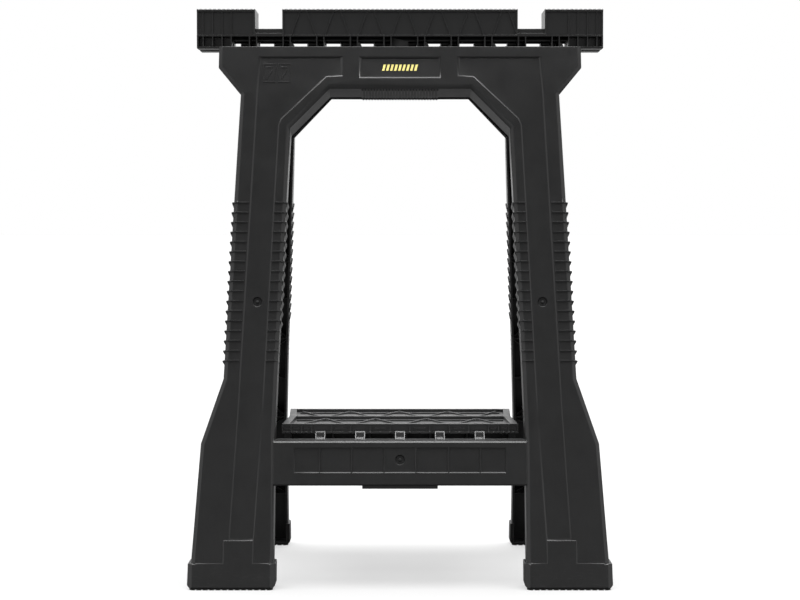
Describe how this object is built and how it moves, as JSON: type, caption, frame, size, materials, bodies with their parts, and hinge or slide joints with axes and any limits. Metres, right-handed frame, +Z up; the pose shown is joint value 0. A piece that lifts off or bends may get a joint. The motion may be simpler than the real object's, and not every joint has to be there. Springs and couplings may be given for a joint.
{
  "type": "folding sawhorse",
  "caption": "Folding sawhorse: two moulded A-frame legs pinned under a slotted, ribbed beam, with a tray shelf that folds up between the legs.",
  "frame": {"origin": "on the floor, under the middle of the beam", "axes": "+X along the beam, -Y the front frame's side, +Z up"},
  "size_m": [0.585, 0.4304, 0.81],
  "materials": {
    "black_plastic": "fine textured moulding",
    "zinc_steel": "zinc plated",
    "foot_rubber": "matt",
    "yellow_print": "hot-foil print"
  },
  "bodies": {
    "front_frame": {"front_frame": "black_plastic", "hinge_pin_1": "zinc_steel", "hinge_pin_2": "zinc_steel", "hinge_pin_3": "zinc_steel", "hinge_pin_4": "zinc_steel", "hinge_pin_5": "zinc_steel", "hinge_pin_6": "zinc_steel", "hinge_pin_7": "zinc_steel", "hinge_pin_8": "zinc_steel", "hinge_pin_9": "zinc_steel", "hinge_pin_10": "zinc_steel", "front_shelf_rod": "zinc_steel", "front_foot_pad_left": "foot_rubber", "front_foot_pad_right": "foot_rubber"},
    "back_frame": {"back_frame": "black_plastic", "back_shelf_rod": "zinc_steel", "back_shelf_ring_1": "black_plastic", "back_shelf_ring_2": "black_plastic", "back_shelf_ring_3": "black_plastic", "back_shelf_ring_4": "black_plastic", "back_shelf_ring_5": "black_plastic", "back_foot_pad_left": "foot_rubber", "back_foot_pad_right": "foot_rubber"},
    "front_shelf": {"front_shelf": "black_plastic", "shelf_mid_rod": "zinc_steel"},
    "back_shelf": {"back_shelf": "black_plastic"}
  },
  "joints": [
    {"name": "main_hinge", "type": "hinge", "parent": "front_frame", "child": "back_frame", "pos_m": [0, 0, 0.762], "axis": [-1, 0, 0], "range_deg": [0, 24.79]},
    {"name": "front_shelf_hinge", "type": "hinge", "parent": "front_frame", "child": "front_shelf", "pos_m": [0, -0.138, 0.194], "axis": [1, 0, 0], "range_deg": [0, 68.4]},
    {"name": "shelf_mid_hinge", "type": "hinge", "parent": "front_shelf", "child": "back_shelf", "pos_m": [0, 0, 0.2035], "axis": [-1, 0, 0], "range_deg": [0, 161.5]}
  ],
  "couplings": [
    {"joint": "front_shelf_hinge", "follows": "main_hinge", "ratio": 2.755},
    {"joint": "shelf_mid_hinge", "follows": "main_hinge", "ratio": 6.511}
  ]
}
